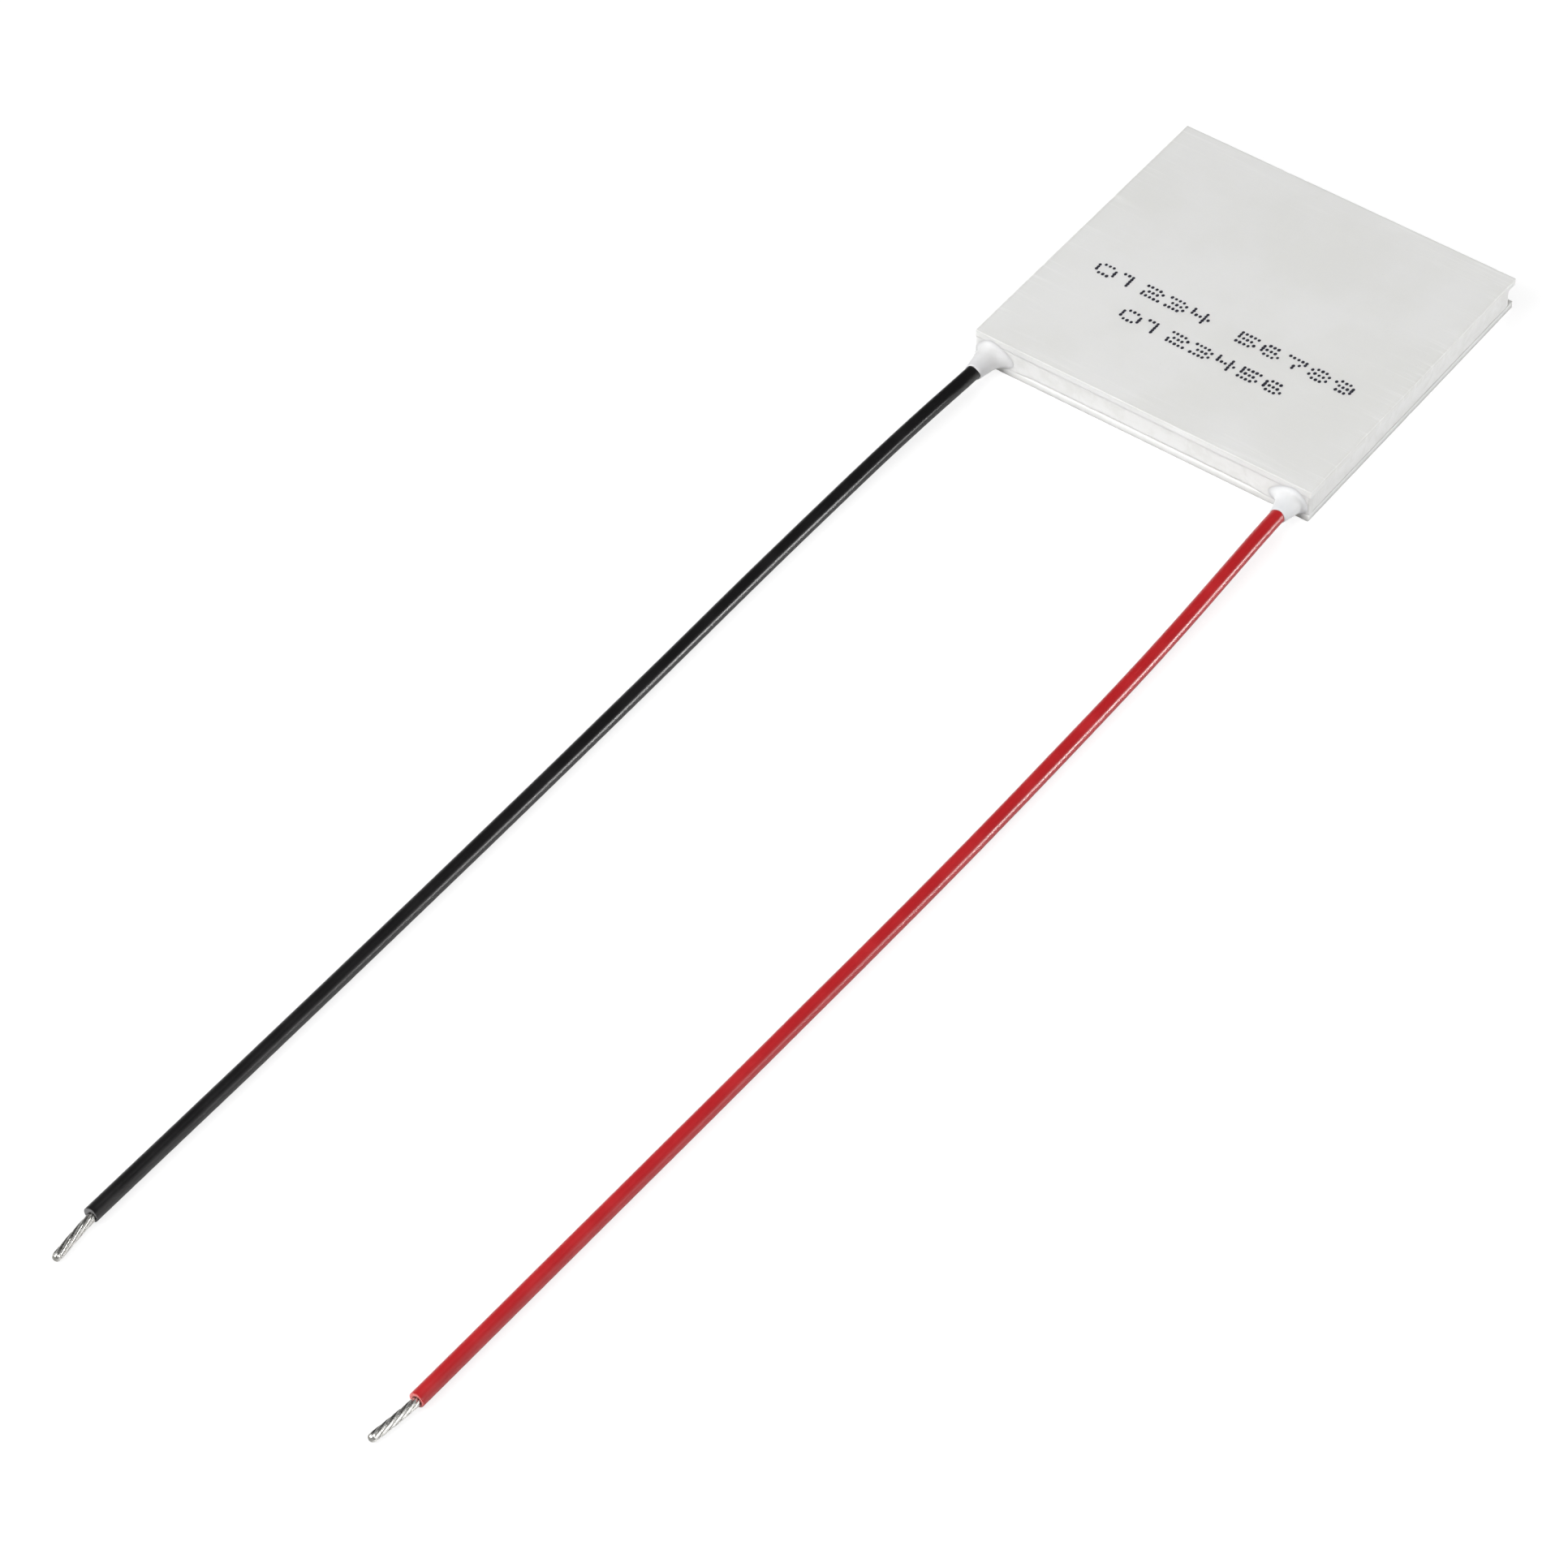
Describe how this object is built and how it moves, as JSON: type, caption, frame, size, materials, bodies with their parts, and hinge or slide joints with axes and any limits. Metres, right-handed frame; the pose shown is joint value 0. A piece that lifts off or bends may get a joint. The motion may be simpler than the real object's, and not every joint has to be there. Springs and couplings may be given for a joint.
{
  "type": "thermoelectric cooling module",
  "caption": "Square thermoelectric cooler: thin white ceramic plates with a sealed edge, and a black and a red lead with tinned ends.",
  "frame": {"origin": "centre of the underside of the hot side plate", "axes": "+Z from the hot side to the cold side, -Y towards the edge that the leads leave, +X towards the positive (red) lead"},
  "size_m": [0.0401, 0.1878, 0.0039],
  "materials": {
    "alumina_plate": "sawn alumina, matt white",
    "silicone_sealant": "white room-temperature-cured silicone",
    "copper_tab": "flat copper, bright",
    "tin_solder": "reflowed tin solder",
    "p_type_telluride": "sawn bismuth telluride",
    "n_type_telluride": "sawn bismuth telluride",
    "tinned_strands": "twisted strands dipped in solder",
    "black_insulation": "extruded black PVC",
    "red_insulation": "extruded red PVC"
  },
  "bodies": {
    "root": {"hot_side_plate": "alumina_plate", "cold_side_plate": "alumina_plate", "perimeter_sealant": "silicone_sealant", "hot_side_tabs": "copper_tab", "cold_side_tabs": "copper_tab", "negative_terminal_tab": "copper_tab", "positive_terminal_tab": "copper_tab", "hot_side_solder": "tin_solder", "cold_side_solder": "tin_solder", "negative_lead_solder": "tin_solder", "positive_lead_solder": "tin_solder", "negative_inner_conductor": "tinned_strands", "positive_inner_conductor": "tinned_strands", "negative_lead_seal": "silicone_sealant", "positive_lead_seal": "silicone_sealant", "negative_lead": "black_insulation", "positive_lead": "red_insulation", "negative_stripped_end": "tinned_strands", "positive_stripped_end": "tinned_strands", "p_type_legs_column_01": "p_type_telluride", "p_type_legs_column_02": "p_type_telluride", "p_type_legs_column_03": "p_type_telluride", "p_type_legs_column_04": "p_type_telluride", "p_type_legs_column_05": "p_type_telluride", "p_type_legs_column_06": "p_type_telluride", "p_type_legs_column_07": "p_type_telluride", "p_type_legs_column_08": "p_type_telluride", "p_type_legs_column_09": "p_type_telluride", "p_type_legs_column_10": "p_type_telluride", "p_type_legs_column_11": "p_type_telluride", "p_type_legs_column_12": "p_type_telluride", "p_type_legs_column_13": "p_type_telluride", "p_type_legs_column_14": "p_type_telluride", "p_type_legs_column_15": "p_type_telluride", "p_type_legs_column_16": "p_type_telluride", "n_type_legs_column_01": "n_type_telluride", "n_type_legs_column_02": "n_type_telluride", "n_type_legs_column_03": "n_type_telluride", "n_type_legs_column_04": "n_type_telluride", "n_type_legs_column_05": "n_type_telluride", "n_type_legs_column_06": "n_type_telluride", "n_type_legs_column_07": "n_type_telluride", "n_type_legs_column_08": "n_type_telluride", "n_type_legs_column_09": "n_type_telluride", "n_type_legs_column_10": "n_type_telluride", "n_type_legs_column_11": "n_type_telluride", "n_type_legs_column_12": "n_type_telluride", "n_type_legs_column_13": "n_type_telluride", "n_type_legs_column_14": "n_type_telluride", "n_type_legs_column_15": "n_type_telluride", "n_type_legs_column_16": "n_type_telluride"}
  },
  "joints": []
}
